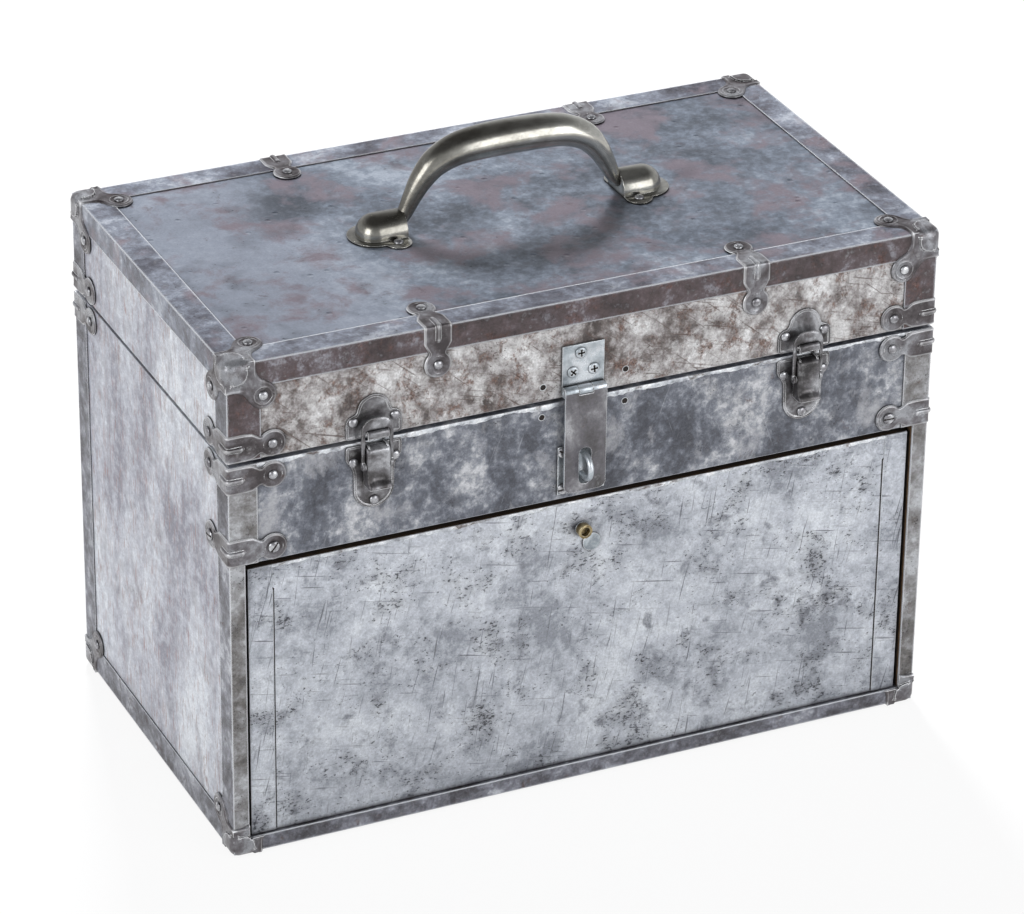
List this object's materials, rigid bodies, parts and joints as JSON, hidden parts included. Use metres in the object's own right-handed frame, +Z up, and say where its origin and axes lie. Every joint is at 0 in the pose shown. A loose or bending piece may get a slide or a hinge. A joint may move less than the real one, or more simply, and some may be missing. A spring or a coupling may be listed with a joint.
{
  "type": "tool chest",
  "caption": "Steel-clad wooden tool chest with a hinged lid over a till, a handle, two draw latches, a padlock hasp and a lift-out front panel over drawers.",
  "frame": {"origin": "on the floor, under the middle of the whole footprint, which reaches from the padlock eye at the front to the rear hinge barrels", "axes": "+X to the right along the long side, +Y from the latched front to the hinged back, +Z up"},
  "size_m": [0.5134, 0.3032, 0.4305],
  "materials": {
    "plywood": "bare birch plywood, darkened with age",
    "sheet_steel": "stripped sheet steel, mottled",
    "pale_sheet_steel": "bright stripped sheet steel, scratched",
    "trim_steel": "dark worn steel angle",
    "stamped_steel": "dark stamped steel with bright edges",
    "fastener_steel": "bright steel heads",
    "nickelled_steel": "worn nickel plate",
    "zinc_plated_steel": "zinc plated",
    "hardware_steel": "worn plated steel",
    "drawer_steel": "grey painted sheet steel",
    "brass": "aged brass"
  },
  "bodies": {
    "chest": {"side_board_left": "plywood", "side_board_right": "plywood", "back_board": "plywood", "base_board": "plywood", "till_front_board": "plywood", "till_floor_board": "plywood", "body_cladding": "sheet_steel", "till_front_cladding": "sheet_steel", "bottom_front_trim": "trim_steel", "bottom_rear_trim": "trim_steel", "bottom_side_trims": "trim_steel", "front_corner_trims": "trim_steel", "rear_corner_trims": "trim_steel", "bottom_corner_caps": "stamped_steel", "body_upper_clamps": "stamped_steel", "body_lower_clamps": "stamped_steel", "body_rivets": "fastener_steel", "body_screws": "fastener_steel", "drawer_runners": "drawer_steel", "latch_base_plates": "hardware_steel", "latch_pivot_pins": "fastener_steel", "hasp_staple": "hardware_steel", "hinge_body_leaves": "hardware_steel", "hinge_pins": "fastener_steel"},
    "lid": {"lid_top_board": "plywood", "lid_front_board": "plywood", "lid_back_board": "plywood", "lid_end_boards": "plywood", "lid_top_cladding": "sheet_steel", "lid_band_cladding": "sheet_steel", "lid_long_trims": "trim_steel", "lid_end_trims": "trim_steel", "lid_corner_trims": "trim_steel", "lid_corner_caps": "stamped_steel", "lid_corner_clamps": "stamped_steel", "lid_edge_clamps": "stamped_steel", "lid_rivets": "fastener_steel", "hinge_lid_leaves": "hardware_steel", "latch_strike_plates": "hardware_steel", "hasp_leaf": "zinc_plated_steel", "hasp_screws": "fastener_steel", "hasp_pin": "fastener_steel", "handle_sockets": "nickelled_steel"},
    "handle": {"handle_grip": "nickelled_steel"},
    "strap": {"hasp_strap": "hardware_steel"},
    "left_lever": {"latch_lever_left": "hardware_steel"},
    "left_loop": {"latch_loop_left": "hardware_steel"},
    "right_lever": {"latch_lever_right": "hardware_steel"},
    "right_loop": {"latch_loop_right": "hardware_steel"},
    "panel": {"front_panel_sheet": "pale_sheet_steel", "front_panel_board": "plywood", "lock_case": "hardware_steel", "lock_stud": "brass"},
    "cover": {"keyhole_cover": "hardware_steel"},
    "bottom_tray": {"bottom_drawer": "drawer_steel", "bottom_drawer_pulls": "brass"},
    "middle_tray": {"middle_drawer": "drawer_steel", "middle_drawer_pulls": "brass"},
    "top_tray": {"top_drawer": "drawer_steel", "top_drawer_pulls": "brass"}
  },
  "joints": [
    {"name": "lid_hinge", "type": "hinge", "parent": "chest", "child": "lid", "pos_m": [0, 0.1482, 0.2932], "axis": [-1, 0, 0], "range_deg": [0, 100]},
    {"name": "handle_swing", "type": "hinge", "parent": "lid", "child": "handle", "pos_m": [0.005, 0.0056, 0.3724], "axis": [1, 0, 0], "range_deg": [-84, 84]},
    {"name": "strap_hinge", "type": "hinge", "parent": "lid", "child": "strap", "pos_m": [-0.006, -0.1372, 0.2995], "axis": [-1, 0, 0], "range_deg": [0, 135]},
    {"name": "left_lever_hinge", "type": "hinge", "parent": "chest", "child": "left_lever", "pos_m": [-0.1535, -0.14, 0.2872], "axis": [-1, 0, 0], "range_deg": [0, 90]},
    {"name": "left_loop_hinge", "type": "hinge", "parent": "left_lever", "child": "left_loop", "pos_m": [-0.1535, -0.14, 0.2762], "axis": [-1, 0, 0], "range_deg": [-90, 0]},
    {"name": "right_lever_hinge", "type": "hinge", "parent": "chest", "child": "right_lever", "pos_m": [0.1565, -0.14, 0.2872], "axis": [-1, 0, 0], "range_deg": [0, 90]},
    {"name": "right_loop_hinge", "type": "hinge", "parent": "right_lever", "child": "right_loop", "pos_m": [0.1565, -0.14, 0.2762], "axis": [-1, 0, 0], "range_deg": [-90, 0]},
    {"name": "panel_slide", "type": "slide", "parent": "chest", "child": "panel", "axis": [0, -1, 0], "range_m": [0, 0.34]},
    {"name": "bottom_drawer_slide", "type": "slide", "parent": "chest", "child": "bottom_tray", "axis": [0, -1, 0], "range_m": [0, 0.17]},
    {"name": "middle_drawer_slide", "type": "slide", "parent": "chest", "child": "middle_tray", "axis": [0, -1, 0], "range_m": [0, 0.17]},
    {"name": "top_drawer_slide", "type": "slide", "parent": "chest", "child": "top_tray", "axis": [0, -1, 0], "range_m": [0, 0.17]},
    {"name": "cover_swing", "type": "hinge", "parent": "panel", "child": "cover", "pos_m": [-0.003, -0.1314, 0.193], "axis": [0, 1, 0], "range_deg": [-120, 120]}
  ],
  "couplings": [
    {"joint": "left_loop_hinge", "follows": "left_lever_hinge", "ratio": -1},
    {"joint": "right_loop_hinge", "follows": "right_lever_hinge", "ratio": -1},
    {"joint": "bottom_drawer_slide", "follows": "panel_slide", "ratio": 0.5},
    {"joint": "middle_drawer_slide", "follows": "panel_slide", "ratio": 0.5},
    {"joint": "top_drawer_slide", "follows": "panel_slide", "ratio": 0.5}
  ]
}
